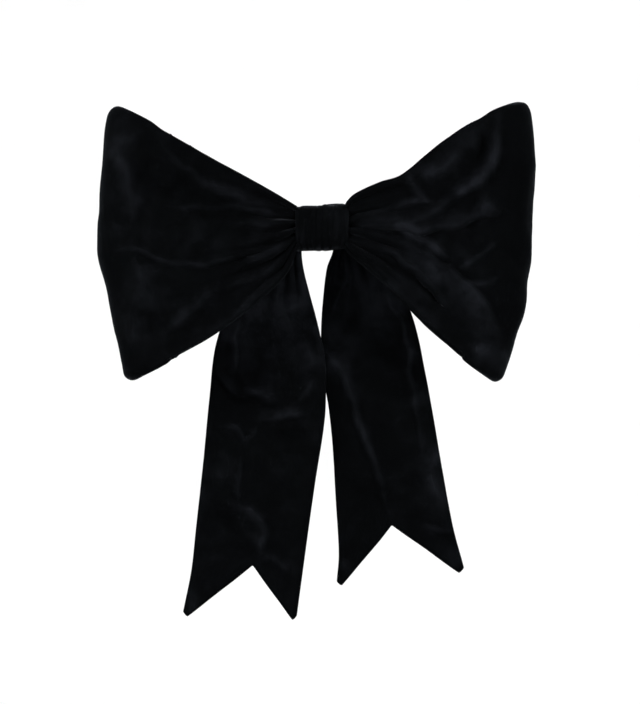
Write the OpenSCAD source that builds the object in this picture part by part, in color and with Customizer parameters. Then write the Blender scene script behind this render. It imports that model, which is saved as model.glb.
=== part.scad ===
// Large velvet hair bow on a French barrette.
// Millimetres, +Z up, the front of the bow faces -Y. The origin is the middle of the
// barrette's hair space, behind the knot.

/* [Loops] */
// Reach of the left loop from the middle of the knot
left_reach = 110; // [100:1:120]
// Reach of the right loop from the middle of the knot
right_reach = 105; // [95:1:115]
// Height of the loops' upper corners above the middle of the knot
loop_top = 59.5; // [45:0.5:70]
// Depth of the loops' lower corners below the middle of the knot
loop_bottom = 75.5; // [60:0.5:85]
// How far the left loop's lower edge sags below a straight line
left_belly = 13; // [0:1:15]
// How far the right loop's lower edge sags
right_belly = 4; // [0:1:15]
// Radius at which the strip rolls over at the end of each loop
roll_radius = 14; // [10:0.5:14]
// How far the front of each loop bulges between the knot and the roll
loop_crown = 3; // [0:0.5:5]

/* [Fabric] */
// Thickness of one velvet ply
ply = 1.0; // [0.8:0.05:1.1]
// Thickness of the interfacing between the two plies of a loop
interfacing = 0.4; // [0.3:0.05:0.5]

/* [Knot] */
// Width of the knot band at the front
knot_width = 26; // [22:1:30]
// Width of the knot band where it is pulled tight at the back
knot_back_width = 9; // [8:1:12]
// Height of the knot
knot_height = 22.6; // [21.5:0.2:25]
// Thickness of the folded band
knot_band_ply = 1.8; // [1.6:0.1:1.9]

/* [Tails] */
// Lowest tip of the left tail, below the middle of the knot
left_tail_drop = 198; // [180:1:210]
// Lowest tip of the right tail, below the middle of the knot
right_tail_drop = 183; // [165:1:195]
// Share of a tail's length at which its swallowtail notch ends
left_notch = 0.885; // [0.85:0.005:0.92]
// The same for the right tail
right_notch = 0.87; // [0.85:0.005:0.92]

/* [Barrette] */
// Length of the barrette's base plate
barrette_length = 80; // [78:1:84]
// Width of the base plate
barrette_width = 9; // [8.8:0.2:10]
// Clear height of the hair space at the middle
hair_space = 6; // [5.6:0.1:6.4]
// Radius of the hinge pin
pin_r = 0.6; // [0.5:0.05:0.7]

/* [Hidden] */

velvet = [0.04, 0.04, 0.05];
lining = [0.12, 0.12, 0.13];
thread = [0.02, 0.02, 0.02];
steel = [0.75, 0.75, 0.76];

// Depths from the hair space, at 0, to the front of the bow
base_front_y = -6.6;
right_tail_y = -8;            // where the right tail's two plies meet
left_tail_y = -10.4;          // the left tail hangs in front of the right one
loop_back_y = -13.4;          // the back of each loop, at its roll
waist_front_y = -24;          // the front pass of the strip through the knot
waist_pass = 4.4;             // from one pass of the strip to the next
knot_back_y = -3.7;
knot_front_y = -29.4;

half_strip = ply + interfacing / 2;
rows_side = 9;                // stations along the front or back of a loop
rows_roll = 6;                // steps round its roll
cols = 9;                     // points across the strip or a tail

function lerp(a, b, t) = a + (b - a) * t;
function smooth(t) = let (c = min(1, max(0, t))) c * c * (3 - 2 * c);
function quadratic(p, t) = (1 - t) * (1 - t) * p[0] + 2 * t * (1 - t) * p[1] + t * t * p[2];
function cubic(p, t) =
    pow(1 - t, 3) * p[0] + 3 * t * pow(1 - t, 2) * p[1] + 3 * t * t * (1 - t) * p[2] + pow(t, 3) * p[3];
function reversed(list) = [for (i = [len(list) - 1:-1:0]) list[i]];
function across(j) = 2 * j / (cols - 1) - 1;

// ---------- a closed solid between two facing grids of points ----------

// Both grids have the same rows and columns; wrap joins the last row to the first.
module shell_between(front, back, wrap = false) {
    rows = len(front);
    columns = len(front[0]);
    count = rows * columns;
    last = wrap ? rows - 1 : rows - 2;
    function at(side, r, c) = side * count + (r % rows) * columns + c;
    function quad(a, b, c, d) = [[a, b, c], [a, c, d]];
    skins = [for (r = [0:last], c = [0:columns - 2]) each concat(
        quad(at(0, r, c), at(0, r + 1, c), at(0, r + 1, c + 1), at(0, r, c + 1)),
        quad(at(1, r, c), at(1, r, c + 1), at(1, r + 1, c + 1), at(1, r + 1, c)))];
    sides = [for (r = [0:last]) each concat(
        quad(at(0, r, 0), at(1, r, 0), at(1, r + 1, 0), at(0, r + 1, 0)),
        quad(at(0, r + 1, columns - 1), at(1, r + 1, columns - 1),
             at(1, r, columns - 1), at(0, r, columns - 1)))];
    ends = wrap ? [] : [for (c = [0:columns - 2]) each concat(
        quad(at(0, 0, c), at(0, 0, c + 1), at(1, 0, c + 1), at(1, 0, c)),
        quad(at(0, rows - 1, c + 1), at(0, rows - 1, c),
             at(1, rows - 1, c), at(1, rows - 1, c + 1)))];
    polyhedron(points = concat([for (r = front) each r], [for (r = back) each r]),
               faces = concat(skins, sides, ends));
}

// A short stitch along an axis, centred where it stands
stitch_r = 0.2;
module stitch(length) {
    cylinder(h = length, r = stitch_r, center = true, $fn = 24);
}

// ---------- the loop strip ----------

// The loops' outer edges, from the lower corner to the upper one, as [x, z]
left_edge = [[-left_reach + 14, -loop_bottom], [-left_reach - 10.5, 0], [-left_reach + 6.5, loop_top - 1]];
right_edge = [[right_reach - 17, -loop_bottom], [right_reach + 5.5, -12], [right_reach - 3.5, loop_top + 0.5]];
upper_belly = 2;              // how far the upper edges rise above a straight line

root_x = knot_width / 2 + 0.5;    // where the strip leaves the knot and fans out
root_z = 9.6;
waist_x = knot_width / 2 - 1.5;   // where it is drawn in under the band
middle_waist_z = 8.1;           // half height of the middle pass through the knot
end_waist_z = 4.4;            // and of the first and last ones, where the thread bends round
waist_swell = 1.75;           // how much thicker the gathered plies are in the knot
end_lap = 8;                  // how far each end of the strip laps past the middle

function pass_y(side) = waist_front_y + waist_pass * (side < 0 ? 1 : 2);
function back_waist_z(side) = side < 0 ? middle_waist_z : end_waist_z;

// A station of the strip: the side it lies on, how far out it is from 0 at the knot to 1
// at the roll, the angle it faces from 0 at the front to 180 at the back, its depth, and
// its x and half height in the knot
function inside_knot(side, angle, y, x, z) = [side, 0, angle, y, x, z];
function out_of_knot(side, s, angle, y) = [side, s, angle, y, root_x, root_z];

roll_y = loop_back_y - roll_radius;
function loop_stations(side) = concat(
    [inside_knot(side, 0, waist_front_y, waist_x, end_waist_z)],
    [for (i = [0:rows_side - 1]) let (s = i / (rows_side - 1))
        out_of_knot(side, s, 0, lerp(waist_front_y, roll_y - roll_radius, s) - loop_crown * sin(180 * s))],
    [for (i = [1:rows_roll - 1]) let (a = 180 * i / rows_roll)
        out_of_knot(side, 1, a, roll_y - roll_radius * cos(a))],
    [for (i = [rows_side - 1:-1:0]) let (s = i / (rows_side - 1))
        out_of_knot(side, s, 180, lerp(pass_y(side), loop_back_y, s))],
    [inside_knot(side, 180, pass_y(side), waist_x - 3, back_waist_z(side)),
     inside_knot(side, 180, pass_y(side), -end_lap, back_waist_z(side))]);

strip_stations = concat(reversed(loop_stations(-1)), loop_stations(1));

// One point of the strip: w runs from -1 at the lower edge to 1 at the upper one, and
// off is how far outside the middle of the strip it lies
function strip_point(station, w, off) =
    let (
        side = station[0],
        s = station[1],
        angle = station[2],
        outer = quadratic(side < 0 ? left_edge : right_edge, (w + 1) / 2),
        reach = abs(outer[0]),
        x = lerp(station[4], reach - roll_radius, s) + roll_radius * s * sin(angle),
        u = max(0, (x - root_x) / (reach - root_x)),
        belly = w < 0 ? (side < 0 ? left_belly : right_belly) : upper_belly,
        swell = lerp(waist_swell, 1, smooth(s / 0.2)),
        z = lerp(w * station[5], outer[1], u) + w * belly * sin(180 * sqrt(min(1, u)))
    ) [side * (x + off * swell * sin(angle)), station[3] - off * swell * cos(angle), z];

function strip_grid(off) =
    [for (station = strip_stations) [for (j = [0:cols - 1]) strip_point(station, across(j), off)]];

module strip_layer(inside, outside) {
    shell_between(strip_grid(outside), strip_grid(inside));
}

module bow_outer_ply() {
    color(velvet) strip_layer(interfacing / 2, half_strip);
}

module bow_interfacing() {
    color(lining) strip_layer(-interfacing / 2, interfacing / 2);
}

module bow_inner_ply() {
    color(velvet) strip_layer(-half_strip, -interfacing / 2);
}

// Stitches through both lapped ends of the strip, in a column beside the middle
module lap_stitches() {
    count = 4;
    pitch = 2.4;
    color(thread)
        for (i = [0:count - 1])
            translate([0, (pass_y(-1) + pass_y(1)) / 2, (i - (count - 1) / 2) * pitch])
                rotate([90, 0, 0])
                    stitch(2 * waist_pass - 0.6);
}

// ---------- the knot ----------

band_steps = 32;

// A point on a rounded oval in the YZ plane: power 2 is an ellipse, more is squarer
function oval(centre_y, half_depth, half_height, power, a) =
    [centre_y - half_depth * sign(cos(a)) * pow(abs(cos(a)), 2 / power),
     half_height * sign(sin(a)) * pow(abs(sin(a)), 2 / power)];

function band_half_width(y) =
    lerp(knot_width, knot_back_width, smooth((y - knot_front_y - 10) / 7)) / 2;

// The band's skin, with its half depth and half height taken in by inset
function band_grid(inset) = [for (i = [0:band_steps - 1])
    let (p = oval((knot_front_y + knot_back_y) / 2, (knot_back_y - knot_front_y) / 2 - inset,
                  knot_height / 2 - inset, 3.4, 360 * i / band_steps))
    [for (j = [-2:2]) [band_half_width(p[0]) * j / 2, p[0], p[1]]]];

module knot_band() {
    color(velvet) shell_between(band_grid(0), band_grid(knot_band_ply), wrap = true);
}

// Turns of thread that draw the strip's waist together under the band
module waist_thread() {
    turns = 5;
    thread_d = 0.5;
    half_height = 8.8;
    front = waist_front_y - waist_swell * half_strip - thread_d - 0.2;
    back = pass_y(1) + waist_swell * half_strip + thread_d + 0.2;
    function turn(x, inset) = [for (i = [0:band_steps - 1])
        let (p = oval((front + back) / 2, (back - front) / 2 - inset,
                      half_height - inset, 4, 360 * i / band_steps))
        [[x - thread_d / 2, p[0], p[1]], [x + thread_d / 2, p[0], p[1]]]];
    color(thread)
        for (i = [0:turns - 1])
            let (x = (i - (turns - 1) / 2) * 2 * thread_d)
                shell_between(turn(x, 0), turn(x, thread_d), wrap = true);
}

// Whip stitches that close the band's lapped end at the back
module knot_stitches() {
    count = 5;
    pitch = 2.6;
    color(thread)
        for (i = [0:count - 1])
            translate([0, knot_back_y - 0.05, (i - (count - 1) / 2) * pitch])
                rotate([0, 65, 0])
                    stitch(3);
}

// ---------- the tails ----------

// The two edges of each tail from the knot to the tips, as [x, z]
left_inner = [[-14, -8], [10, -72], [2, -112], [-14, -left_tail_drop]];
left_outer = [[-9, 4], [-66, -38], [-57, -110], [-68, -left_tail_drop + 2]];
right_inner = [[7.5, -7], [-8, -60], [8, -110], [9, -right_tail_drop]];
right_outer = [[9, 4], [62, -24], [54, -100], [71, -right_tail_drop + 9]];

tail_rows = 22;
lean = 0.05;                  // the left tail leans forward below the loops
lean_from_z = -95;
bulge = 0.3;                  // the middle of the left tail bulges forward, the right one's back

// One point of a tail: v runs from 0 at the knot to 1 at the tips, w from -1 at the outer
// edge to 1 at the inner one. The notch shortens the middle.
function tail_place(inner, outer, notch, v, w) =
    let (t = v * lerp(notch, 1, abs(w))) lerp(cubic(outer, t), cubic(inner, t), (w + 1) / 2);
function left_place(v, w) = tail_place(left_inner, left_outer, left_notch, v, w);
function right_place(v, w) = tail_place(right_inner, right_outer, right_notch, v, -w);
function crown(v, w) = bulge * (1 - w * w) * sin(180 * smooth(v));

module left_tail_ply(near, far) {
    function grid(off) = [for (i = [0:tail_rows]) [for (j = [0:cols - 1])
        let (
            v = i / tail_rows,
            w = across(j),
            p = left_place(v, w),
            y = left_tail_y - lean * max(0, lean_from_z - p[1]) - crown(v, w)
        ) [p[0], y + off, p[1]]]];
    color(velvet) shell_between(grid(near), grid(far));
}

module right_tail_ply(near, far) {
    function grid(off) = [for (i = [0:tail_rows]) [for (j = [0:cols - 1])
        let (
            v = i / tail_rows,
            w = across(j),
            p = right_place(v, w)
        ) [p[0], right_tail_y + crown(v, w) + off, p[1]]]];
    color(velvet) shell_between(grid(near), grid(far));
}

module left_tail_front() {
    left_tail_ply(-ply, 0);
}

module left_tail_back() {
    left_tail_ply(0, ply);
}

module right_tail_front() {
    right_tail_ply(-ply, 0);
}

module right_tail_back() {
    right_tail_ply(0, ply);
}

// Gathering stitches through both plies near the top of a tail
gather_count = 4;
gather_v = 0.012;
module gathering_stitch(place, y) {
    translate([place[0], y, place[1]])
        rotate([90, 0, 0])
            stitch(2 * ply + 0.4);
}

module left_tail_stitches() {
    color(thread)
        for (i = [1:gather_count])
            gathering_stitch(left_place(gather_v, 2 * i / (gather_count + 1) - 1), left_tail_y);
}

module right_tail_stitches() {
    color(thread)
        for (i = [1:gather_count])
            gathering_stitch(right_place(gather_v, 2 * i / (gather_count + 1) - 1), right_tail_y);
}

// ---------- the barrette ----------

base_radius = 120;
base_t = 0.8;
arm_radius = 300;
arm_t = 1;
arm_width = 7;
bar_radius = 160;
bar_t = 0.5;
bar_width = 6;
ear_t = 0.8;
ear_r = 1.6;
hinge_x = barrette_length / 2 - 1.5;
catch_x = -barrette_length / 2 + 4.2;
bore_gap = 0.05;
sewing_hole_r = 1;
sewing_hole_inset = 9;

// Depth of an arched strip's face at x, when that face is at y0 in the middle
function arch_y(y0, radius, x) = y0 + radius - sqrt(radius * radius - x * x);

bar_rear_y = -hair_space / 2;
arm_near_y = hair_space / 2;
hinge_y = arch_y(arm_near_y, arm_radius, hinge_x) + arm_t / 2;

// A strip bent round the Z axis: its front face passes through y0 at x = 0
module arched_strip(radius, y0, t, width, from_x, to_x) {
    from_a = asin(from_x / radius);
    to_a = asin(to_x / radius);
    translate([0, y0 + radius, 0])
        rotate([0, 0, -90 + from_a])
            rotate_extrude(angle = to_a - from_a, $fn = 180)
                translate([radius - t, -width / 2])
                    square([t, width]);
}

prong_t = 0.5;
prong_width = 2.8;
prong_z = 1.5;                // inner face of a prong
barb = 0.5;
prong_root_y = arch_y(base_front_y, base_radius, catch_x) + base_t / 2;
prong_top_y = arch_y(arm_near_y, arm_radius, catch_x) + arm_t + 1.4;
prong_clear = 0.2;

module barrette_base() {
    ear_low = arch_y(base_front_y, base_radius, hinge_x) + 0.3;
    through = 30;
    color(steel) difference() {
        union() {
            arched_strip(base_radius, base_front_y, base_t, barrette_width,
                         -barrette_length / 2, barrette_length / 2);
            for (side = [-1, 1])
                translate([0, 0, side * (barrette_width - ear_t) / 2 - ear_t / 2]) {
                    translate([hinge_x - ear_r, ear_low, 0])
                        cube([2 * ear_r, hinge_y - ear_low, ear_t]);
                    translate([hinge_x, hinge_y, 0])
                        cylinder(h = ear_t, r = ear_r, $fn = 48);
                }
        }
        translate([hinge_x, hinge_y, 0])
            cylinder(h = through, r = pin_r, center = true, $fn = 48);
        for (side = [-1, 1])
            translate([side * (barrette_length / 2 - sewing_hole_inset), 0, 0])
                rotate([90, 0, 0])
                    cylinder(h = through, r = sewing_hole_r, center = true, $fn = 48);
        for (side = [-1, 1])
            translate([catch_x, 0, side * (prong_z + prong_t / 2)])
                cube([prong_width + 2 * prong_clear, through, prong_t + 2 * prong_clear], center = true);
    }
}

module hinge_pin() {
    head_t = 0.5;
    color(steel) translate([hinge_x, hinge_y, 0]) {
        cylinder(h = barrette_width, r = pin_r, center = true, $fn = 48);
        for (side = [0, 1])
            mirror([0, 0, side])
                translate([0, 0, barrette_width / 2])
                    cylinder(h = head_t, r = pin_r + 0.4, $fn = 48);
    }
}

module clasp_arm() {
    barrel_r = 1.4;
    barrel_h = barrette_width - 2 * ear_t - 0.2;
    window_length = prong_width + 1.2;
    window_width = 2 * (prong_z + prong_t + barb + 0.1);
    through = 12;
    color(steel) difference() {
        union() {
            arched_strip(arm_radius, arm_near_y, arm_t, arm_width,
                         -barrette_length / 2 - 0.5, hinge_x - 0.6);
            translate([hinge_x, hinge_y, 0])
                cylinder(h = barrel_h, r = barrel_r, center = true, $fn = 48);
        }
        translate([hinge_x, hinge_y, 0])
            cylinder(h = through, r = pin_r + bore_gap, center = true, $fn = 48);
        translate([catch_x, prong_top_y, 0])
            cube([window_length, through, window_width], center = true);
    }
}

// The bowed leaf that presses the hair against the arm; its feet stand on the base
module tension_bar() {
    reach = barrette_length / 2 - 6;
    foot_gap = 0.03;
    function foot_y(x) = arch_y(base_front_y, base_radius, abs(x) + bar_t) + base_t + foot_gap;
    color(steel) {
        arched_strip(bar_radius, bar_rear_y - bar_t, bar_t, bar_width, -reach + 2, reach);
        for (x = [-reach + 2, reach - bar_t])
            let (top = arch_y(bar_rear_y - bar_t, bar_radius, abs(x)) + bar_t / 2)
                translate([x, foot_y(x), -bar_width / 2])
                    cube([bar_t, top - foot_y(x), bar_width]);
    }
}

// A spring prong of the catch; its barb stands over the clasp arm's window
module catch_prong() {
    color(steel) translate([catch_x - prong_width / 2, 0, prong_z]) {
        translate([0, prong_root_y, 0])
            cube([prong_width, prong_top_y - prong_root_y, prong_t]);
        translate([0, prong_top_y - 1.2, prong_t])
            cube([prong_width, 1, barb]);
    }
}

module catch_prong_upper() {
    catch_prong();
}

module catch_prong_lower() {
    mirror([0, 0, 1]) catch_prong();
}

bow_outer_ply();
bow_interfacing();
bow_inner_ply();
lap_stitches();
waist_thread();
knot_band();
knot_stitches();
left_tail_front();
left_tail_back();
left_tail_stitches();
right_tail_front();
right_tail_back();
right_tail_stitches();
barrette_base();
hinge_pin();
clasp_arm();
tension_bar();
catch_prong_upper();
catch_prong_lower();
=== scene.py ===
"""Black velvet hair bow on a French barrette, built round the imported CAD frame."""
import math

import bpy
import numpy as np
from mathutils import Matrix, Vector


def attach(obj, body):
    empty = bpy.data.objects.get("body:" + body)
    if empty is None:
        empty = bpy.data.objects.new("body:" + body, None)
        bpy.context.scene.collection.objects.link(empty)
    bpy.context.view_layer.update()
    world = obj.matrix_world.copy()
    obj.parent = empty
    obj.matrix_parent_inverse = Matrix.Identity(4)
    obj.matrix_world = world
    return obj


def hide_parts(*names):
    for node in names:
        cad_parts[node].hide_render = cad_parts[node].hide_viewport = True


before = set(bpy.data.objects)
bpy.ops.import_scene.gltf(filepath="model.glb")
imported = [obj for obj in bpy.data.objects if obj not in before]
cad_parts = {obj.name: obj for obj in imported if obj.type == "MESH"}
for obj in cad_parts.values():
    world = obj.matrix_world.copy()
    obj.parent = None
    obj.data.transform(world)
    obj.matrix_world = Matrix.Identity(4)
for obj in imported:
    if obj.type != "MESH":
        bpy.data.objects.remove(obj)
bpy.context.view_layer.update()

MM = 0.001                    # shapes are worked out in millimetres


# ---------- curves and fields ----------

def smooth(t):
    """0 below 0 and 1 above 1, with a soft step between."""
    t = np.clip(t, 0.0, 1.0)
    return t * t * (3.0 - 2.0 * t)


def lerp(a, b, t):
    """The value at the share t of the way from a to b."""
    return a + (b - a) * t


LINE_POINTS = 90              # points on an outline's smooth curve
FOLD_POINTS = 60              # points on a fold's crest
CURVE_STEPS = 24              # steps between two given points, before they are evened out


def through(points, count=LINE_POINTS):
    """Evenly spaced points on a smooth (Catmull-Rom) curve through the given ones."""
    p = np.array(points, float)
    ends = np.vstack([2 * p[0] - p[1], p, 2 * p[-1] - p[-2]])
    t = np.linspace(0.0, 1.0, CURVE_STEPS, endpoint=False)[:, None]
    parts = []
    for a, b, c, d in zip(ends, ends[1:], ends[2:], ends[3:]):
        parts.append(0.5 * (2 * b + (c - a) * t + (2 * a - 5 * b + 4 * c - d) * t ** 2
                            + (3 * b - a - 3 * c + d) * t ** 3))
    line = np.vstack(parts + [p[-1:]])
    length = np.concatenate([[0.0], np.cumsum(np.linalg.norm(np.diff(line, axis=0), axis=1))])
    at = np.linspace(0.0, length[-1], count)
    return np.column_stack([np.interp(at, length, line[:, k]) for k in range(p.shape[1])])


def on(line, t):
    """Points at the shares t of a line's length."""
    at = np.linspace(0.0, 1.0, len(line))
    return np.stack([np.interp(t, at, line[:, k]) for k in range(line.shape[1])], axis=-1)


def wander(a, b, size, seed, waves=8):
    """A smooth random field over two coordinates, made of a few sine waves."""
    rng = np.random.default_rng(seed)
    total = np.zeros(np.broadcast(a, b).shape)
    for _ in range(waves):
        fa, fb = rng.uniform(-1, 1, 2) * (2 * math.pi / size)
        total += np.sin(fa * a + fb * b + rng.uniform(0, 2 * math.pi))
    return total / math.sqrt(waves)


def creases(a, b, size, seed):
    """Crisp small creases that come and go: 1 on their lines and 0 between them."""
    line = 1 - np.minimum(1, 1.2 * np.abs(wander(a, b, size, seed)))
    return line ** 1.7 * smooth(0.4 + 0.7 * wander(a, b, 2.5 * size, seed + 1))


def folds(x, z, ridges, seed):
    """Height of the cloth's folds at each place, and the highlight and shade painted into the colour along
    them.

    A ridge falls off differently on its two sides, and a negative one is a valley.
    """
    warp_size = 15.0          # crests stray from their lines by about warp, over this distance
    warp = 0.8
    patch_size = 11.0
    end_share = 0.25          # how much of a crest fades out at each of its ends
    px = x + warp * wander(x, z, warp_size, seed)
    pz = z + warp * wander(x, z, warp_size, seed + 1)
    height = np.zeros_like(x)
    tone = np.zeros_like(x)
    for points, crest, left_width, right_width, painted_light_amount in ridges:
        line = through(points, FOLD_POINTS)
        along = np.gradient(line, axis=0)
        along /= np.linalg.norm(along, axis=1, keepdims=True)
        squared = (px[..., None] - line[:, 0]) ** 2 + (pz[..., None] - line[:, 1]) ** 2
        nearest = squared.argmin(axis=-1)
        gap_x = px - line[nearest, 0]
        gap_z = pz - line[nearest, 1]
        aside = along[nearest, 0] * gap_z - along[nearest, 1] * gap_x
        ahead = along[nearest, 0] * gap_x + along[nearest, 1] * gap_z
        half_step = 0.5 * np.hypot(*(line[1] - line[0]))
        distance = np.hypot(aside, np.maximum(0, np.abs(ahead) - half_step))
        t = nearest / (len(line) - 1)
        fade = smooth(t / end_share) * smooth((1 - t) / end_share)
        width = np.where(aside > 0, left_width, right_width) * (0.7 + 0.3 * fade)
        share = distance / width
        height += crest * (0.1 + 0.9 * fade) * np.exp(-share ** 1.7)
        # Painted highlight along each crest in the colour, painted shade where its strength is negative.
        tone += painted_light_amount * (0.2 + 0.8 * fade) * np.exp(-(share / 0.9) ** 1.6)
    patchy = 0.85 + 0.25 * wander(x, z, patch_size, seed + 2)
    return height, tone * patchy


# ---------- meshes ----------

def mesh_object(name, vertices, faces):
    """A smooth-shaded object from points in millimetres."""
    mesh = bpy.data.meshes.new(name)
    mesh.from_pydata((np.asarray(vertices) * MM).tolist(), [], faces)
    mesh.validate()
    mesh.shade_smooth()
    piece = bpy.data.objects.new(name, mesh)
    bpy.context.collection.objects.link(piece)
    return piece


def normals_of(grid, wrap=False):
    """Unit normals of a grid of points, rows first."""
    if wrap:
        down = np.roll(grid, -1, axis=0) - np.roll(grid, 1, axis=0)
    else:
        down = np.gradient(grid, axis=0)
    across = np.gradient(grid, axis=1)
    n = np.cross(down, across)
    return n / np.maximum(np.linalg.norm(n, axis=-1, keepdims=True), 1e-9)


def turned_cloth(name, middle, thickness, tone, wrap=False):
    """A closed skin round a grid: two plies that meet at its edges, where thickness is 0.

    tone is painted highlight and shade, and goes into the mesh for the velvet's colour to read.
    """
    rows, cols = middle.shape[:2]
    n = normals_of(middle, wrap)
    lift = n * thickness[..., None] / 2
    front = middle + lift
    back = middle - lift
    rim = np.zeros((rows, cols), bool)
    rim[:, [0, -1]] = True
    if not wrap:
        rim[[0, -1], :] = True
    index = np.arange(rows * cols).reshape(rows, cols)
    back_index = index.copy()
    back_index[~rim] = rows * cols + np.arange((~rim).sum())
    vertices = np.vstack([front.reshape(-1, 3), back[~rim]])
    faces = []
    for r in range(rows if wrap else rows - 1):
        s = (r + 1) % rows
        for c in range(cols - 1):
            faces.append((index[r, c], index[s, c], index[s, c + 1], index[r, c + 1]))
            faces.append((back_index[r, c], back_index[r, c + 1], back_index[s, c + 1], back_index[s, c]))
    piece = mesh_object(name, vertices, [tuple(int(i) for i in f) for f in faces])
    # Painted highlight and shade, stored on the mesh for the velvet's colour.
    painted_light = piece.data.attributes.new("painted_light", "FLOAT", "POINT")
    painted_light.data.foreach_set("value", np.concatenate([tone.ravel(), tone[~rim]]).astype(np.float32))
    return piece


def edged(count, margin):
    """Steps from 0 to 1 with a few close ones at both ends, for a rounded rim."""
    close = np.array([0.0, 0.12, 0.35, 0.7]) * margin
    return np.concatenate([close, np.linspace(margin, 1 - margin, count), (1 - close)[::-1]])


SEAM_MIDDLE = 3.0             # how far inside the edge the turned-in seam allowance is thickest
SEAM_WIDTH = 2.2


def rim_thickness(gap, full, radius=1.1, seam=0.5):
    """Thickness of turned cloth at a distance from its edge, fuller over the seam allowance."""
    rounding = np.sqrt(np.clip(1 - (1 - np.clip(gap / radius, 0, 1)) ** 2, 0, 1))
    return rounding * (full + seam * np.exp(-((gap - SEAM_MIDDLE) / SEAM_WIDTH) ** 2))


def tube(name, lines, radius, sides=10):
    """Round thread along each of several lines of points, with closed ends."""
    askew = [0.31, 0.17, 0.93]    # a direction that no stitch runs along
    vertices = []
    faces = []
    turn = np.linspace(0, 2 * math.pi, sides, endpoint=False)
    for line in lines:
        line = np.asarray(line, float)
        along = np.gradient(line, axis=0)
        along /= np.linalg.norm(along, axis=1, keepdims=True)
        side = np.cross(along, askew)
        side /= np.linalg.norm(side, axis=1, keepdims=True)
        up = np.cross(along, side)
        first = len(vertices)
        for p, s, q in zip(line, side, up):
            vertices.extend(p + radius * (math.cos(a) * s + math.sin(a) * q) for a in turn)
        for r in range(len(line) - 1):
            for k in range(sides):
                a = first + r * sides + k
                b = first + r * sides + (k + 1) % sides
                faces.append((a, b, b + sides, a + sides))
        faces.append(tuple(first + k for k in reversed(range(sides))))
        faces.append(tuple(first + (len(line) - 1) * sides + k for k in range(sides)))
    return mesh_object(name, vertices, faces)


# ---------- cloth simulation ----------

def blurred(field):
    """A grid of vectors with each one averaged with its neighbours."""
    padded = np.pad(field, ((1, 1), (1, 1), (0, 0)), mode="edge")
    rows = 0.25 * padded[:-2] + 0.5 * padded[1:-1] + 0.25 * padded[2:]
    return 0.25 * rows[:, :-2] + 0.5 * rows[:, 1:-1] + 0.25 * rows[:, 2:]


def settled(grid, pins, grow, cap, frames=16):
    """How far each point of a cloth grid moves as it settles, in millimetres.

    The cloth grows a little, so it buckles as real cloth does where there is too much
    of it. pins is how firmly each point is held, and no point moves further than cap.
    """
    rows, cols = grid.shape[:2]
    index = np.arange(rows * cols).reshape(rows, cols)
    quads = np.stack([index[:-1, :-1], index[1:, :-1], index[1:, 1:], index[:-1, 1:]], axis=-1)
    piece = mesh_object("settling", grid.reshape(-1, 3), quads.reshape(-1, 4).tolist())
    group = piece.vertex_groups.new(name="held")
    for i, weight in enumerate(pins.ravel()):
        group.add([i], float(weight), "REPLACE")
    cloth = piece.modifiers.new("cloth", "CLOTH")
    cloth.settings.quality = 6
    cloth.settings.mass = 0.15
    cloth.settings.tension_stiffness = 25
    cloth.settings.compression_stiffness = 25
    cloth.settings.shear_stiffness = 8
    cloth.settings.bending_stiffness = 1.5
    cloth.settings.vertex_group_mass = "held"
    cloth.settings.pin_stiffness = 0.6
    cloth.settings.shrink_min = -grow
    cloth.settings.effector_weights.gravity = 0.15
    cloth.collision_settings.use_collision = False
    cloth.collision_settings.use_self_collision = False
    cloth.point_cache.frame_start = 1
    cloth.point_cache.frame_end = frames
    scene = bpy.context.scene
    for number in range(1, frames + 1):
        scene.frame_set(number)
    shape = piece.evaluated_get(bpy.context.evaluated_depsgraph_get()).to_mesh()
    moved = np.empty(rows * cols * 3)
    shape.vertices.foreach_get("co", moved)
    scene.frame_set(1)
    bpy.data.objects.remove(piece)
    change = moved.reshape(rows, cols, 3) / MM - grid
    for _ in range(2):
        change = blurred(change)
    far = np.linalg.norm(change, axis=-1, keepdims=True)
    free = (1 - pins) / (1 - pins.min())
    return change * free[..., None] * np.minimum(1.0, cap / np.maximum(far, 1e-6))


def resampled(change, rows_at, cols_at):
    """A grid of changes read at new places, given as shares of its rows and columns."""
    rows, cols = change.shape[:2]
    r = rows_at * (rows - 1)
    c = cols_at * (cols - 1)
    r0 = np.minimum(r.astype(int), rows - 2)[:, None]
    c0 = np.minimum(c.astype(int), cols - 2)[None, :]
    fr = smooth(r[:, None] - r0)[..., None]
    fc = smooth(c[None, :] - c0)[..., None]
    low = lerp(change[r0, c0], change[r0, c0 + 1], fc)
    high = lerp(change[r0 + 1, c0], change[r0 + 1, c0 + 1], fc)
    return lerp(low, high, fr)
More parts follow.
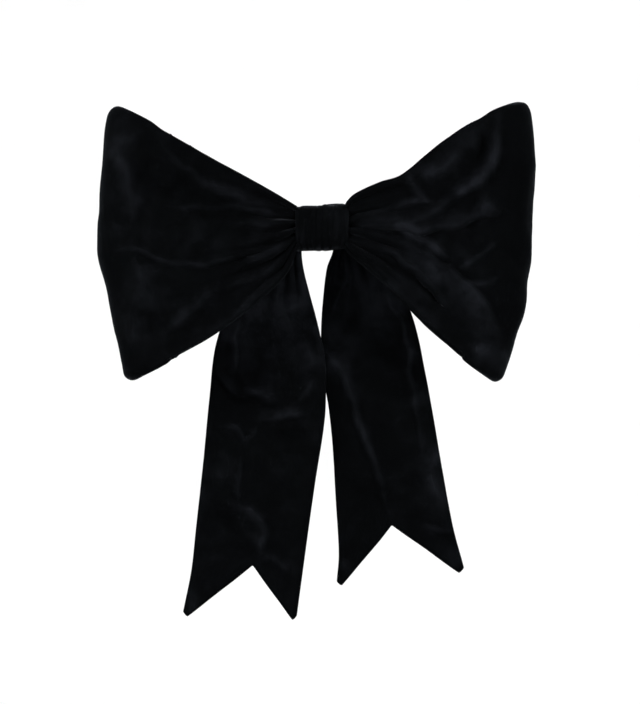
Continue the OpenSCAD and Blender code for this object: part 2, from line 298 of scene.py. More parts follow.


# ---------- the loops ----------

# Outlines and folds seen from the front, as (x, z): x counts outwards from the middle of the knot.
# A fold is its crest's line, its height, its widths to the left and right of that line,
# and the strength of the highlight painted into the colour along it, painted shade where negative;
# a fold of height 0 is painted light alone. A further strength for each loop scales that painted light over
# all of it.
LEFT_LOOP = {
    "side": -1,
    "seed": 10,
    "painted_light_amount": 0.8,
    "top": [(13, 10), (38, 24), (74, 44.5), (96.5, 56.6)],
    "bottom": [(13, -11), (21, -26.5), (50, -51), (74, -65), (90.5, -73.8)],
    "outer": [(90.5, -73.8), (94, -75.3), (97.2, -74), (98.9, -69), (103.8, -43), (109.5, -18), (110.6, -8),
              (110.5, 5), (107.6, 38), (106, 51), (104.6, 56.2), (101.6, 58.7), (96.5, 56.6)],
    "folds": [
        ([(13, 5), (23, 9.5), (36, 11.5), (47, 16.5), (60, 22.5), (73, 34), (83, 45)], 2.2, 3, 1.8, 0.4),
        ([(40, 10.5), (52, 13), (62, 17), (73, 26)], -1.8, 2.5, 4, -0.45),
        ([(14, 4), (37, 8.3), (60, 9.2), (79, 9)], 1.7, 1.5, 1.8, 0.5),
        ([(42, 4.5), (62, 5.5)], -1.0, 2, 2, -0.4),
        ([(14, 0), (22, 1), (40, 0.8), (46, 2.2)], 1.3, 1.3, 1.5, 0.5),
        ([(13, -3), (25, -4), (38, -3)], 0.8, 1.5, 1.5, 0.15),
        ([(54, -4), (66, -8), (78, -6)], 1.6, 8, 8, 0.22),
        ([(13, -7.8), (31, -11.8), (46, -17), (60, -19.4), (75, -17.5), (92, -12), (110, -13)],
         1.4, 4, 0.9, 0.1),
        ([(31, -11.8), (46, -17), (60, -19.4), (75, -17.5), (92, -12), (110, -13)], 0.5, 0.9, 0.8, 0.4),
        ([(17, -8.6), (31, -14.6), (45, -24)], 1.8, 1.2, 1.6, 0.65),
        ([(16, -13), (26, -20.5), (48, -33)], 1.5, 1.3, 1.5, 0.4),
        ([(50, -26), (56, -33), (66, -43), (76, -52.5)], 2.4, 2.8, 2.8, 0.55),
        ([(15, -16), (28, -30), (40, -42), (52, -50)], 1.4, 1.6, 3, 0.3),
        ([(86, 49), (91, 45), (97.5, 38), (95.5, 25), (93, 14), (93, 0)], 3.2, 6, 4, 0.75),
        ([(84, 38), (85, 27), (80, 20), (66, 14)], -2.0, 6, 6, -0.5),
        ([(103, 8), (101, 1), (96, -1)], 0.8, 1.2, 1.2, 0.3),
        ([(92, -14), (88, -29), (93, -43), (91, -62)], 2.4, 5, 7, 0.5),
        ([(83, -30), (86, -45)], 0.8, 4, 4, 0.15),
        # Painted shade towards the bottom corner, with no fold under it.
        ([(60, -52), (80, -62)], 0.0, 5, 5, -0.12),
    ],
}
RIGHT_LOOP = {
    "side": 1,
    "seed": 20,
    "painted_light_amount": 0.9,
    "top": [(13, 13), (17, 16.6), (28, 21.5), (40, 26), (60, 42), (80, 54), (92, 59.6)],
    "bottom": [(13, -12), (31, -27), (49, -46), (69, -63.5), (81.5, -73.2)],
    "outer": [(81.5, -73.2), (85.5, -75.9), (88.6, -74.4), (90.6, -70), (95.8, -56), (100, -37), (102.6, -10),
              (104.6, 20), (104.4, 42), (103.2, 54), (101.2, 59.4), (97.5, 60.7), (92, 59.6)],
    "folds": [
        ([(40, 0.5), (48, 3.5), (57, 8), (70, 17.5), (80, 27), (85, 38), (86.5, 52)], 3.6, 3.2, 2.6, 0.75),
        ([(66, 24), (75, 33), (79, 46)], -1.2, 3, 3, -0.25),
        ([(44, 23), (56, 26), (66, 32), (72, 40), (76, 53)], 3.0, 8, 3, 0.55),
        ([(41, 24), (46, 17), (52, 12)], 2.0, 2.2, 2.2, 0.5),
        ([(14, 5), (25, 6), (34, 9), (48, 12), (60, 11)], 1.5, 1.3, 1.4, 0.5),
        ([(14, 2), (30, 2.4), (40, 4)], 1.0, 1.5, 1.5, 0.2),
        ([(14, -1), (33, 0), (42, -1.5), (49, -3), (62, 0), (76, 4.5), (88, 5)], 3.4, 4.2, 1.2, 0.6),
        ([(76, 8), (83, 9), (88, 6)], 2.4, 4, 4, 0.5),
        ([(38, -1.5), (54, -10.5), (65, -17.5)], 2.6, 2.2, 2.2, 0.6),
        ([(39, -6.5), (50, -13.5), (60, -21), (72, -31), (80, -41), (85, -53), (87, -64)],
         4.2, 1.8, 11, 0.65),
        ([(14, -5), (24, -9.5), (35, -14), (48, -24), (58, -35), (64, -45)], 1.5, 1.3, 1.0, 0.35),
        ([(36, -17.5), (50, -29), (62, -43)], -1.6, 1.6, 1.6, -0.3),
        ([(13.5, -11), (31, -25), (46, -40), (60, -53)], 1.6, 3, 2, 0.35),
        ([(67, -21.5), (77, -15), (88, -8)], 1.5, 1.6, 1.6, 0.5),
        ([(70, -29), (80, -28.5), (88, -25)], 1.3, 1.5, 1.5, 0.45),
        ([(74, -4), (77, -10)], 0.8, 2.5, 2.5, 0.12),
        # Painted shade down the outer band, where the roll turns away from the light; no fold lies under it.
        ([(96, 50), (98, 10), (96, -30), (91, -56)], 0.0, 9, 9, -0.5),
        ([(73, -60), (81, -61), (93, -60)], 1.0, 3, 7, 0.9),
    ],
}

KNOT_INSIDE = 9.5             # how far from the middle the strip is drawn together in the band
KNOT_SQUEEZE = 0.55           # how much of its height it keeps there
LAP = 8.0                     # how far its ends lap past the middle
WAIST_Y = -25.8               # the middle of the cloth where the front of a loop meets the knot
BACK_Y = -14.4                # the middle of the cloth at the back of the loops
ROLL_DEPTH = 13.0             # half the depth of a loop at its roll
ROLL_REACH = 15.0             # how far the roll extends beyond its shoulder
LOOP_REACH = 94.0             # about how far a loop reaches from the knot
BACK_PASS_Y = {-1: -19.6, 1: -15.2}   # the two back passes lie one behind the other in the band
RIBBON_HALF = 67.0            # half the ribbon's width
RIBBON_FULL = 2.0             # thickness of the turned ribbon
RIBBON_PRESSED = 0.8          # its thickness where the band presses it


def loop_lines(loop):
    """The four smooth border lines of a loop in the front view."""
    lines = {name: through(loop[name]) for name in ("top", "bottom", "outer")}
    lines["near"] = np.linspace(loop["bottom"][0], loop["top"][0], LINE_POINTS)
    return lines


def front_place(lines, u, w):
    """Place in the front view: u runs from the knot to the outer edge, w from low to high."""
    t = (w + 1) / 2
    low = on(lines["bottom"], u)
    high = on(lines["top"], u)
    near = on(lines["near"], t)
    far = on(lines["outer"], t)
    a = u[..., None]
    b = t[..., None]
    corner = ((1 - a) * (1 - b) * lines["bottom"][0] + a * (1 - b) * lines["bottom"][-1]
              + (1 - a) * b * lines["top"][0] + a * b * lines["top"][-1])
    return (1 - b) * low + b * high + (1 - a) * near + a * far - corner


def pleats(u, w, phase):
    """Radiating gathers that fade out away from the knot: a coarse wave across with a finer one on it."""
    coarse, finer = 3.1, 5.3      # waves in half the ribbon's width
    bend = w + 0.06 * np.sin(3.1 * w + phase)
    wave = (np.cos(2 * math.pi * coarse * bend + phase)
            + 0.45 * np.cos(2 * math.pi * finer * bend + 2 * phase))
    return wave * (0.85 * np.exp(-((u / 0.3) ** 2)) + 0.4 * np.exp(-((u / 0.6) ** 2)))


def loop_grid(loop, q, w, phase):
    """Middle of the cloth and its tone: q runs 0 to 1 along the front, 1 to 2 round the roll, 2 to 3 back."""
    crease_size = 26.0
    roll_size = 30.0
    roll_crease_size = 34.0
    lines = loop_lines(loop)
    shoulder = 1 - ROLL_REACH / LOOP_REACH
    angle = np.clip(q - 1, 0, 1) * math.pi
    out = np.where(q < 1, q, np.where(q > 2, 3 - q, 1.0))
    u = np.where((q > 1) & (q < 2), shoulder + (1 - shoulder) * np.sin(angle), shoulder * out)
    xz = front_place(lines, u, w)
    roll_middle = BACK_Y - ROLL_DEPTH
    rise = 1 - (1 - out) ** 1.9
    front_y = lerp(WAIST_Y, roll_middle - ROLL_DEPTH, rise)
    back_y = lerp(BACK_PASS_Y[loop["side"]], BACK_Y, smooth(out))
    roll_y = roll_middle - ROLL_DEPTH * np.cos(angle)
    y = np.where(q <= 1, front_y, np.where(q >= 2, back_y, roll_y))
    facing = np.cos(angle)
    away = smooth(out / 0.12)
    x, z = xz[..., 0], xz[..., 1]
    lift, tone = folds(x, z, loop["folds"], loop["seed"])
    lift *= away * (0.5 + 0.5 * smooth((1 - np.abs(w)) / 0.06))
    open_cloth = smooth(out / 0.3)
    fine = creases(x, 1.4 * z, crease_size, loop["seed"] + 3) * open_cloth
    crumple = 0.3 * wander(x, z, crease_size, loop["seed"] + 5) * open_cloth + 0.45 * fine
    gathers = pleats(u, w, phase)
    front_lift = lift + crumple + gathers
    back_lift = 0.45 * np.minimum(lift, 2.0) + crumple + 0.7 * gathers
    y = y - np.where(q < 1.5, front_lift * np.maximum(facing, 0), back_lift * np.minimum(facing, 0))
    rolling = (0.5 * wander(z, y, roll_size, loop["seed"] + 7)
               + 0.6 * creases(z, y, roll_crease_size, loop["seed"] + 8))
    x = x + rolling * np.sin(angle)
    # Painted shade near the knot, and painted highlight on crease lines and pleat crests with painted shade
    # in the pleats' hollows.
    painted_knot_shade = 0.14 * (1 - smooth(out / 0.3))
    tone = loop["painted_light_amount"] * tone * away + 0.05 * fine + 0.04 * gathers - painted_knot_shade
    return np.stack([loop["side"] * x, y, z], axis=-1), tone


def ribbon_grid(strip, w):
    """The whole ribbon; strip runs from -5 at its end in the left back pass to 5 at the other end."""
    s, across = np.meshgrid(strip, w, indexing="ij")
    q = np.clip(np.abs(s) - 1, 0, 3)
    left_rows = strip < 0
    left, left_tone = loop_grid(LEFT_LOOP, q[left_rows], across[left_rows], 0.9)
    right, right_tone = loop_grid(RIGHT_LOOP, q[~left_rows], across[~left_rows], 2.4)
    grid = np.concatenate([left, right])
    side = np.sign(s)
    inside = (np.abs(s) < 1) | (np.abs(s) > 4)
    end = np.clip(2 * np.abs(s) - 9, 0, 1)
    grid[..., 0] = np.where(inside, side * lerp(KNOT_INSIDE, -LAP, end), grid[..., 0])
    grid[..., 2] *= np.where(inside, KNOT_SQUEEZE, 1)
    return grid, np.concatenate([left_tone, right_tone])


def strip_stations(front, roll, back):
    """Stations along the ribbon, close together where it shows."""
    q = np.concatenate([np.linspace(1, 2, front, endpoint=False),
                        np.linspace(2, 3, roll, endpoint=False),
                        np.linspace(3, 4, back)])
    half = np.concatenate([[0.5], q, [4.5, 5]])
    return np.concatenate([-half[::-1], half])


def make_ribbon():
    """Both loops: one turned ribbon that runs through the knot and back, drawn together in it."""
    strip = strip_stations(front=112, roll=38, back=56)
    shares = edged(count=160, margin=0.018)
    w = 2 * shares - 1
    middle, tone = ribbon_grid(strip, w)
    coarse_strip = strip_stations(front=34, roll=14, back=26)
    coarse_w = np.linspace(-1, 1, 49)
    coarse, _ = ribbon_grid(coarse_strip, coarse_w)
    free = smooth((np.abs(coarse_strip) - 1.2) / 0.5) * smooth((3.8 - np.abs(coarse_strip)) / 0.5)
    pins = 1 - 0.75 * free[:, None] * smooth((1 - np.abs(coarse_w)) / 0.12)
    change = settled(coarse, pins, grow=0.03, cap=2.5)
    rows_at = np.interp(strip, coarse_strip, np.linspace(0, 1, coarse_strip.size))
    middle = middle + resampled(change, rows_at, shares)
    loose = smooth(np.minimum(np.abs(strip) - 0.8, 4.2 - np.abs(strip)) / 0.4)[:, None]
    gap = (1 - np.abs(w)) * RIBBON_HALF
    thickness = rim_thickness(gap[None, :], lerp(RIBBON_PRESSED, RIBBON_FULL, loose), seam=0.5 * loose)
    thickness[[0, -1]] = 0
    return turned_cloth("bow_loops", middle, thickness, tone)


# ---------- the knot ----------

BAND_FRONT_Y = -29.6
BAND_BACK_Y = -3.8
BAND_HALF_HEIGHT = 11.4
BAND_HALF_WIDTH = 13.2
BAND_BACK_HALF_WIDTH = 3.7    # narrow at the back, where the tails swing past it
BAND_NARROWS_AFTER = 9        # how far behind its front it starts to narrow
BAND_NARROWS_OVER = 8         # and the depth it narrows over
BAND_FULL = 1.8               # thickness of the band
BAND_SPARE = 0.6              # room left for the pleats inside the band's outline
BAND_SQUARENESS = 3.2         # 2 would make its section an ellipse
BAND_SKEW = 0.05              # the band's right side stands a little higher
BAND_PLEATS = (-0.96, -0.72, -0.5, -0.29, -0.06, 0.15, 0.36, 0.57, 0.78, 0.96)   # shares of its half width


def make_knot():
    """The pleated band: a runs round it from the front over the top, and j across it."""
    turns = 150
    a = np.linspace(0, 2 * math.pi, turns, endpoint=False)[:, None]
    shares = edged(count=90, margin=0.03)
    j = (2 * shares - 1)[None, :]
    power = 2 / BAND_SQUARENESS
    ca = np.cos(a)
    sa = np.sin(a)
    half_depth = (BAND_BACK_Y - BAND_FRONT_Y) / 2
    y0 = (BAND_BACK_Y + BAND_FRONT_Y) / 2
    unit_y = -np.sign(ca) * np.abs(ca) ** power
    unit_z = np.sign(sa) * np.abs(sa) ** power
    depth = y0 + half_depth * unit_y
    narrowing = smooth((depth - BAND_FRONT_Y - BAND_NARROWS_AFTER) / BAND_NARROWS_OVER)
    half_width = lerp(BAND_HALF_WIDTH, BAND_BACK_HALF_WIDTH, narrowing)
    rng = np.random.default_rng(5)
    pull = np.zeros((turns, shares.size))
    for k, at in enumerate(BAND_PLEATS):
        place = at + 0.02 * np.sin(2 * a + 1.7 * k) + 0.012 * np.sin(5 * a + k)
        crest = rng.uniform(0.35, 0.9) * (1 + 0.3 * np.sin(3 * a + 2.1 * k))
        width = rng.uniform(0.075, 0.12)
        pull += crest * np.exp(-np.abs((j - place) / width) ** 2)
    # Painted highlight on the pleats' crests, and painted shade over the rest of the band.
    tone = 0.2 * pull - 0.08
    pull *= 1 - 0.4 * np.clip(-ca, 0, 1)
    inset = BAND_FULL / 2 + BAND_SPARE + 0.5 * np.abs(j) ** 4
    x = half_width * j
    y = y0 + (half_depth - inset + pull) * unit_y
    z = (BAND_HALF_HEIGHT - inset + pull) * unit_z + BAND_SKEW * x
    middle = np.stack([x, y, z], axis=-1)
    gap = (1 - np.abs(j)) * half_width
    thickness = rim_thickness(gap, BAND_FULL, radius=0.9, seam=0.3)
    return turned_cloth("knot_wrap", middle, thickness, tone, wrap=True)


# ---------- the tails ----------

# Outlines and folds as for the loops, with x from the middle of the knot to the right, and what each
# tail stands for. Each tail also has the strength of a painted light that makes its top, below the knot
# where the loops' shadow falls, lighter in the colour.
LEFT_TAIL = {
    "body": "left_tail",
    "plies": ("left_tail_front", "left_tail_back"),
    "flat": (0.062, 0.205),
    "phase": 0.4,
    "seed": 30,
    "painted_fill_strength": 0.45,
    "inner": [(-11, 0), (-10.5, -16), (-6.5, -32), (-2.5, -47), (1.5, -66), (2, -84), (1, -100),
              (-3.5, -129), (-8, -161), (-12.6, -197)],
    "outer": [(-14, 4), (-28, -12), (-44, -34), (-53.5, -58), (-57, -86), (-60, -118), (-63.5, -150),
              (-66, -174), (-70, -195.5)],
    "notch": (-35, -170),
    "folds": [
        ([(-9, -20), (-10, -30), (-13, -37), (-20, -38.5)], 1.6, 2.5, 4, 0.9),
        ([(-43, -44), (-43.2, -58), (-43.2, -74)], 0.9, 0.9, 4, 0.25),
        ([(-55, -71), (-50, -76), (-42.5, -82), (-32, -82.5), (-22, -87)], 1.9, 3.2, 1.4, 0.45),
        ([(-50, -84), (-36, -87.5), (-22, -90.5)], -1.2, 2, 2.5, -0.35),
        ([(-13, -88), (-8, -83), (-3, -76)], 1.2, 1.6, 1.6, 0.4),
        ([(-13, -54), (-7, -62), (-4, -72)], 1.0, 3, 3, 0.3),
        ([(-32, -98), (-19, -94.5), (-7, -94.5)], 2.4, 4, 1.8, 0.65),
        ([(-26, -104), (-15, -104.5), (-7, -102)], -1.6, 3, 3.5, -0.5),
        ([(-52, -101), (-44, -101), (-39, -107.6), (-30, -99.5)], 1.3, 1.6, 1.6, 0.35),
        ([(-41, -114), (-41.5, -126), (-41, -138)], 1.2, 1.4, 2.4, 0.4),
        ([(-50, -106), (-48, -120), (-50, -132)], 0.8, 4, 4, 0.2),
        ([(-43, -139), (-34, -144), (-29.5, -151), (-30, -160), (-33, -168)], 2.4, 2.4, 8, 0.6),
        ([(-56, -143), (-48, -148), (-40, -155)], -1.2, 3, 3, -0.3),
        ([(-31, -168.5), (-25, -165.5), (-16, -173)], 1.6, 2.6, 2.6, 0.5),
        ([(-60, -110), (-64, -150), (-66, -180)], 0.6, 4, 4, 0.2),
        ([(-62, -184), (-66, -193)], 0.0, 4, 4, 0.25),
        # Painted light over the tail's shaded top, with no fold under it.
        ([(-22, -14), (-32, -36), (-30, -64)], 0.0, 12, 12, 0.2),
    ],
}
RIGHT_TAIL = {
    "body": "right_tail",
    "plies": ("right_tail_front", "right_tail_back"),
    "flat": (0.062, 0.190),
    "phase": 1.9,
    "seed": 40,
    "painted_fill_strength": 0.38,
    "inner": [(8, 0), (6, -12), (2.5, -21), (0.5, -36), (-0.5, -55), (1, -76), (3.5, -92), (5.5, -112),
              (7, -138), (8.5, -165), (7.5, -181)],
    "outer": [(12, 4), (26, -9), (38, -26), (47, -48), (53, -76), (57, -98), (61, -122), (66.5, -152),
              (72, -174)],
    "notch": (35.5, -150.5),
    "folds": [
        ([(1.5, -62), (8, -69), (13, -76), (17.7, -95.6), (27, -120), (36, -148)], 2.2, 2.6, 1.8, 0.5),
        ([(3, -64), (15, -72)], 0.8, 6, 6, 0.35),
        ([(31, -27), (37, -40), (42, -53), (47, -83), (51.5, -120)], 1.3, 3, 1.2, 0.4),
        ([(14, -12), (11.5, -28), (4.5, -46)], 1.2, 1.2, 1.2, 0.3),
        ([(14.5, -14), (14.5, -36), (12, -50)], 0.9, 1.2, 1.2, 0.15),
        ([(54, -108), (58, -132), (62, -152)], 1.8, 7, 7, 0.6),
        ([(50, -150.5), (58, -152), (68, -153)], 0.8, 2, 2, 0.35),
        ([(12, -122), (20, -138), (26, -146)], -0.6, 6, 6, -0.25),
        ([(10, -168), (13, -174)], 0.5, 3, 3, 0.45),
        ([(64, -163), (70, -172)], 0.0, 4, 4, 0.3),
        # Painted light over the tail's shaded top, with no fold under it.
        ([(12, -12), (22, -34), (24, -52)], 0.0, 10, 10, 0.18),
    ],
}
LEFT_TAIL_Y = -10.6           # the middle of its cloth behind the knot
RIGHT_TAIL_Y = -7.9
TAIL_FULL = 1.8               # thickness of a tail
TAIL_HALF = 28.0              # about half a tail's width
TAIL_LENGTH = 205.0           # about its length
TIP_WIDTH = 0.085             # the blunt tip's share of half the tail's width
TIP_BLUNTNESS = 2.2           # how much of the point the turned tip leaves out


def tail_place(tail, v, w):
    """Place of a point of a tail: v runs from the knot to the tips, w from outer to inner."""
    inner, outer = through(tail["inner"]), through(tail["outer"])
    t = (w + 1) / 2
    middle_end = 0.5 * (np.array(tail["inner"][-1]) + np.array(tail["outer"][-1]))
    drop = np.array(tail["notch"]) - middle_end
    near_tip = np.clip((np.abs(w) - (1 - TIP_WIDTH)) / TIP_WIDTH, 0, 1)
    up = 1 - np.clip(np.abs(w) / (1 - TIP_WIDTH), 0, 1)
    place = lerp(on(outer, v), on(inner, v), t[..., None])
    blunt = TIP_BLUNTNESS * near_tip ** 2
    pull = smooth((v - 0.55) / 0.45) ** 1.5
    place = place + (pull * up)[..., None] * drop
    place[..., 1] += blunt * pull ** 4
    return place


def tail_grid(tail, v, w, middle_y):
    """Middle of a tail's cloth and its tone."""
    waves = 2.6                   # gathers in half the tail's width
    crease_size = 26.0
    drape_size = 60.0
    grid_v, grid_w = np.meshgrid(v, w, indexing="ij")
    xz = tail_place(tail, grid_v, grid_w)
    x, z = xz[..., 0], xz[..., 1]
    free = smooth((-z - 34) / 30)
    lift, tone = folds(x, z, tail["folds"], tail["seed"])
    lift *= smooth(grid_v / 0.1)
    fine = creases(1.2 * x, z, crease_size, tail["seed"] + 3)
    gathers = np.cos(2 * math.pi * waves * grid_w + tail["phase"]) * np.exp(-((grid_v / 0.16) ** 2))
    drape = (0.7 * wander(x, z, drape_size, tail["seed"] + 5) + 0.4 * fine) * free
    y = middle_y(grid_v, grid_w, z) - lift * (0.45 + 0.55 * free) - gathers - drape
    # Painted light: the top of the tail, in the loops' shadow, is made lighter in the colour; crease lines
    # and gather crests get painted highlights.
    painted_fill_under_loops = tail["painted_fill_strength"] * (1 - smooth((grid_v - 0.2) / 0.3))
    return np.stack([x, y, z], axis=-1), tone + 0.05 * fine + 0.06 * gathers + painted_fill_under_loops


def left_tail_y(v, w, z):
    """The left tail hangs in front of the right one, and further forward below the loops."""
    inner_side = smooth((w + 0.9) / 1.2)
    forward = 2.8 * smooth((-z - 44) / 42) * inner_side + 0.045 * np.maximum(0, -95 - z)
    return LEFT_TAIL_Y - forward


def right_tail_y(v, w, z):
    """The right tail hangs nearly flat, and bows a little to the back along its middle."""
    return RIGHT_TAIL_Y + 0.3 * smooth(v / 0.2) * (1 - w * w)


def make_tail(tail, middle_y):
    """One swallowtail: a turned strip, gathered at its top."""
    v = edged(count=230, margin=0.012)
    shares = edged(count=96, margin=0.03)
    w = 2 * shares - 1
    middle, tone = tail_grid(tail, v, w, middle_y)
    coarse_v = np.linspace(0, 1, 66)
    coarse_w = np.linspace(-1, 1, 23)
    coarse, _ = tail_grid(tail, coarse_v, coarse_w, middle_y)
    free = smooth((coarse_v - 0.12) / 0.25)
    pins = 1 - 0.8 * free[:, None] * smooth((1.15 - np.abs(coarse_w)) / 0.4)
    middle = middle + resampled(settled(coarse, pins, grow=0.03, cap=1.2), v, shares)
    side_gap = (1 - np.abs(w))[None, :] * TAIL_HALF
    end_gap = (1 - v)[:, None] * TAIL_LENGTH
    top_gap = v[:, None] * TAIL_LENGTH
    gap = np.minimum(np.minimum(side_gap, end_gap), top_gap)
    return turned_cloth(tail["body"], middle, rim_thickness(gap, TAIL_FULL, seam=0.45), tone)


# ---------- threads ----------

THREAD_RADIUS = 0.17
ALONG_STITCH = np.linspace(-1, 1, 9)


def whip_stitches():
    """Slanted stitches over the band's lapped edge at the back."""
    half_length = 1.4
    slant = 0.65
    rise = 0.35
    t = ALONG_STITCH
    lines = []
    for z in np.linspace(-5.2, 5.2, 5):
        y = BAND_BACK_Y - 0.25 + rise * (1 - t ** 2)
        lines.append(np.column_stack([half_length * t, y, z + slant * t]))
    return tube("band_stitches", lines, THREAD_RADIUS)


def gathering_stitches(tail, middle_y):
    """Running stitches through the top of a tail, each about a middle column of its grid."""
    middle_columns = (8, 16, 24, 32)
    half_length = 2               # columns
    t = ALONG_STITCH
    lines = []
    grid, _ = tail_grid(tail, np.array([0.0, 0.03, 0.06]), np.linspace(-1, 1, 41), middle_y)
    for column in middle_columns:
        start = grid[1, column - half_length]
        end = grid[1, column + half_length]
        line = lerp(start, end, (t[:, None] + 1) / 2)
        line[:, 1] -= TAIL_FULL / 2 - 0.1 + 0.22 * (1 - t ** 2)
        lines.append(line)
    return tube(tail["body"] + "_gathering", lines, THREAD_RADIUS)


# ---------- materials ----------

def new_material(name):
    """A new node material, with its nodes, links and shader."""
    material = bpy.data.materials.new(name)
    material.use_nodes = True
    nodes = material.node_tree.nodes
    return material, nodes, material.node_tree.links, nodes["Principled BSDF"]


def noise(nodes, links, coordinates, scale, detail=3.0, roughness=0.55):
    """A noise texture over the given coordinates."""
    node = nodes.new("ShaderNodeTexNoise")
    node.inputs["Scale"].default_value = scale
    node.inputs["Detail"].default_value = detail
    node.inputs["Roughness"].default_value = roughness
    links.new(coordinates, node.inputs["Vector"])
    return node


def ramp(nodes, links, value, stops):
    """A colour for each value, between stops given as (value, colour)."""
    node = nodes.new("ShaderNodeValToRGB")
    links.new(value, node.inputs["Fac"])
    elements = node.color_ramp.elements
    while len(elements) < len(stops):
        elements.new(0.5)
    for element, (position, color) in zip(elements, stops):
        element.position = position
        element.color = (*color, 1.0)
    return node


def math_node(nodes, links, operation, *values):
    """A math node; each value is a number or another node's output."""
    node = nodes.new("ShaderNodeMath")
    node.operation = operation
    for socket, value in zip(node.inputs, values):
        if isinstance(value, (int, float)):
            socket.default_value = value
        else:
            links.new(value, socket)
    return node


def bump(nodes, links, height, distance, strength, below=None):
    """Small relief from a height, laid over the relief below it if there is one."""
    node = nodes.new("ShaderNodeBump")
    node.inputs["Strength"].default_value = strength
    node.inputs["Distance"].default_value = distance
    links.new(height, node.inputs["Height"])
    if below:
        links.new(below.outputs["Normal"], node.inputs["Normal"])
    return node


def velvet():
    """Cut-pile velvet: nearly black face on, with a cool sheen where the pile is seen from its side."""
    material, nodes, links, shader = new_material("black_velvet")
    place = nodes.new("ShaderNodeTexCoord").outputs["Object"]
    # Painted highlight and shade: the base colour is lighter along fold crests and darker in valleys, read
    # from the mesh, with random mottling mixed in.
    painted_light = nodes.new("ShaderNodeAttribute")
    painted_light.attribute_name = "painted_light"
    mottle = noise(nodes, links, place, scale=85.0, detail=6.0, roughness=0.6)
    pile = noise(nodes, links, place, scale=2600.0, detail=2.0, roughness=0.7)
    broken = math_node(nodes, links, "MULTIPLY_ADD", mottle.outputs["Fac"], 1.8, 0.1)
    patchy_painted_light = math_node(nodes, links, "MULTIPLY", painted_light.outputs["Fac"], broken.outputs["Value"])
    ground = math_node(nodes, links, "MULTIPLY_ADD", mottle.outputs["Fac"], 0.55, 0.2)
    spread = math_node(nodes, links, "MULTIPLY_ADD", patchy_painted_light.outputs["Value"], 0.5, ground.outputs["Value"])
    tone = math_node(nodes, links, "MULTIPLY_ADD", pile.outputs["Fac"], 0.25, spread.outputs["Value"])
    colour = ramp(nodes, links, tone.outputs["Value"],
                  [(0.35, (0.00055, 0.00062, 0.00071)), (0.62, (0.00081, 0.00092, 0.00104)),
                   (0.82, (0.00176, 0.00198, 0.00238)), (1.0, (0.0034, 0.0038, 0.0047))])
    links.new(colour.outputs["Color"], shader.inputs["Base Color"])
    shader.inputs["Roughness"].default_value = 0.62
    shader.inputs["Specular IOR Level"].default_value = 0.0
    shader.inputs["Sheen Weight"].default_value = 0.036
    shader.inputs["Sheen Roughness"].default_value = 0.3
    shader.inputs["Sheen Tint"].default_value = (0.70, 0.77, 0.87, 1.0)
    soft = bump(nodes, links, mottle.outputs["Fac"], distance=0.0006, strength=0.4)
    fine = bump(nodes, links, pile.outputs["Fac"], distance=0.00012, strength=0.8, below=soft)
    links.new(fine.outputs["Normal"], shader.inputs["Normal"])
    return material


def sewing_thread():
    """Black twisted thread: fine slanted ridges along each stitch."""
    material, nodes, links, shader = new_material("black_thread")
    place = nodes.new("ShaderNodeTexCoord").outputs["Object"]
    twist = nodes.new("ShaderNodeTexWave")
    twist.bands_direction = "DIAGONAL"
    twist.inputs["Scale"].default_value = 900.0
    twist.inputs["Distortion"].default_value = 1.5
    links.new(place, twist.inputs["Vector"])
    colour = ramp(nodes, links, twist.outputs["Fac"],
                  [(0.2, (0.001, 0.001, 0.0012)), (0.9, (0.004, 0.004, 0.0045))])
    links.new(colour.outputs["Color"], shader.inputs["Base Color"])
    shader.inputs["Roughness"].default_value = 0.6
    shader.inputs["Specular IOR Level"].default_value = 0.08
    ridges = bump(nodes, links, twist.outputs["Fac"], distance=0.0001, strength=0.6)
    links.new(ridges.outputs["Normal"], shader.inputs["Normal"])
    return material


def brushed_steel(name, tone, roughness):
    """Plated or plain steel, brushed along the clip, with small scuffs."""
    material, nodes, links, shader = new_material(name)
    place = nodes.new("ShaderNodeTexCoord").outputs["Object"]
    stretch = nodes.new("ShaderNodeMapping")
    stretch.inputs["Scale"].default_value = (0.06, 1.0, 1.0)
    links.new(place, stretch.inputs["Vector"])
    brushed = noise(nodes, links, stretch.outputs["Vector"], scale=3000.0, detail=3.0, roughness=0.6)
    scuffs = noise(nodes, links, place, scale=160.0, detail=5.0, roughness=0.65)
    colour = ramp(nodes, links, scuffs.outputs["Fac"],
                  [(0.35, tuple(0.86 * c for c in tone)), (0.6, tone)])
    links.new(colour.outputs["Color"], shader.inputs["Base Color"])
    shader.inputs["Metallic"].default_value = 1.0
    gloss = nodes.new("ShaderNodeMapRange")
    gloss.inputs["To Min"].default_value = roughness - 0.08
    gloss.inputs["To Max"].default_value = roughness + 0.12
    links.new(brushed.outputs["Fac"], gloss.inputs["Value"])
    links.new(gloss.outputs["Result"], shader.inputs["Roughness"])
    grain = bump(nodes, links, brushed.outputs["Fac"], distance=0.00003, strength=0.5)
    links.new(grain.outputs["Normal"], shader.inputs["Normal"])
    return material


def paint(piece, material):
    """Make this the piece's only material."""
    piece.data.materials.clear()
    piece.data.materials.append(material)


# ---------- the stage, lights and camera ----------

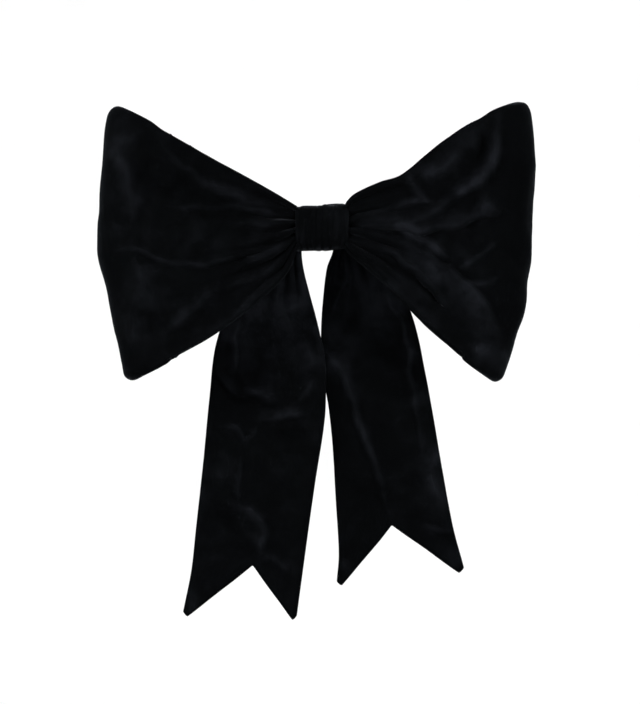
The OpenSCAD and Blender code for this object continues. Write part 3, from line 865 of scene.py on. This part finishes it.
def make_stage():
    """A round pale cove: a floor well below the bow that curves up into a wall."""
    floor_z = -1.5
    floor_r = 1.9
    wall_r = 3.2
    wall_top = 3.4
    turns = 96
    bend = wall_r - floor_r
    profile = [(floor_r * 0.5, floor_z)]
    profile += [(floor_r + bend * math.sin(a), floor_z + bend * (1 - math.cos(a)))
                for a in np.linspace(0, math.pi / 2, 24)]
    profile.append((wall_r, wall_top))
    vertices = [(r * math.cos(a), r * math.sin(a), z)
                for r, z in profile for a in np.linspace(0, 2 * math.pi, turns, endpoint=False)]
    faces = [tuple(range(turns))]
    for ring in range(len(profile) - 1):
        for k in range(turns):
            a = ring * turns + k
            b = ring * turns + (k + 1) % turns
            faces.append((a, a + turns, b + turns, b))
    cove = mesh_object("cove", np.array(vertices) / MM, faces)
    material, nodes, links, shader = new_material("pale_cove")
    place = nodes.new("ShaderNodeTexCoord").outputs["Object"]
    grain = noise(nodes, links, place, scale=6.0)
    colour = ramp(nodes, links, grain.outputs["Fac"], [(0.3, (0.88, 0.88, 0.88)), (0.7, (0.9, 0.9, 0.9))])
    links.new(colour.outputs["Color"], shader.inputs["Base Color"])
    shader.inputs["Roughness"].default_value = 0.9
    paint(cove, material)


def soft_light(name, azimuth, elevation, distance, size, power, aim):
    """A square soft box; azimuth 0 stands in front of the bow and 90 at its left."""
    a = math.radians(azimuth)
    e = math.radians(elevation)
    offset = Vector((-math.sin(a) * math.cos(e), -math.cos(a) * math.cos(e), math.sin(e)))
    data = bpy.data.lights.new(name, "AREA")
    data.shape = "SQUARE"
    data.size = size
    data.energy = power
    light = bpy.data.objects.new(name, data)
    light.location = Vector(aim) + offset * distance
    light.rotation_euler = (-offset).to_track_quat("-Z", "Y").to_euler()
    light.visible_camera = False
    bpy.context.collection.objects.link(light)


def make_lights():
    """Two soft boxes from the front sides, a weak one above, two behind, and a white room."""
    aim = (0.0, -0.02, -0.06)
    soft_light("key_left", azimuth=60, elevation=14, distance=0.75, size=0.22, power=12.5, aim=aim)
    soft_light("key_right", azimuth=-58, elevation=4, distance=0.75, size=0.22, power=11.3, aim=aim)
    soft_light("top", azimuth=0, elevation=75, distance=0.9, size=0.4, power=2.3, aim=aim)
    soft_light("back_left", azimuth=130, elevation=25, distance=0.8, size=0.3, power=8.5, aim=aim)
    soft_light("back_right", azimuth=-130, elevation=25, distance=0.8, size=0.3, power=8.5, aim=aim)
    world = bpy.data.worlds.new("soft_room")
    world.use_nodes = True
    background = world.node_tree.nodes["Background"]
    background.inputs["Color"].default_value = (1.0, 1.0, 1.0, 1.0)
    background.inputs["Strength"].default_value = 1.28
    bpy.context.scene.world = world
    settings = bpy.context.scene.view_settings
    settings.view_transform = "Standard"
    settings.look = "None"


def make_camera():
    """Level and square to the bow, a little left of its middle."""
    distance = 1.2
    view_height = 0.352           # what the frame's long side covers at the bow
    long_sensor = 36.0
    data = bpy.data.cameras.new("camera")
    data.sensor_width = long_sensor
    data.lens = long_sensor * distance / view_height
    camera = bpy.data.objects.new("camera", data)
    camera.location = (-0.001, -0.025 - distance, -0.0625)
    camera.rotation_euler = (math.radians(90), 0, 0)
    bpy.context.collection.objects.link(camera)
    bpy.context.scene.camera = camera


# ---------- putting it together ----------

make_camera()
make_lights()
make_stage()

velvet_cloth = velvet()
black_thread = sewing_thread()
nickel_steel = brushed_steel("nickel_steel", (0.30, 0.295, 0.29), 0.34)
spring_steel = brushed_steel("spring_steel", (0.24, 0.24, 0.25), 0.30)

loops = make_ribbon()
paint(loops, velvet_cloth)
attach(loops, "bow")
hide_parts("bow_outer_ply", "bow_interfacing", "bow_inner_ply")

knot = make_knot()
paint(knot, velvet_cloth)
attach(knot, "bow")
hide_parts("knot_band")

for tail, middle_y in ((LEFT_TAIL, left_tail_y), (RIGHT_TAIL, right_tail_y)):
    body = tail["body"]
    piece = make_tail(tail, middle_y)
    paint(piece, velvet_cloth)
    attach(piece, body)
    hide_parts(*tail["plies"])
    stitches = gathering_stitches(tail, middle_y)
    paint(stitches, black_thread)
    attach(stitches, body)
    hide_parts(body + "_stitches")

band_stitches = whip_stitches()
paint(band_stitches, black_thread)
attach(band_stitches, "bow")
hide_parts("knot_stitches")

for node in ("waist_thread", "lap_stitches"):
    paint(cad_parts[node], black_thread)
for node in ("barrette_base", "hinge_pin", "clasp_arm"):
    paint(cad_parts[node], nickel_steel)
for node in ("tension_bar", "catch_prong_upper", "catch_prong_lower"):
    paint(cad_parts[node], spring_steel)
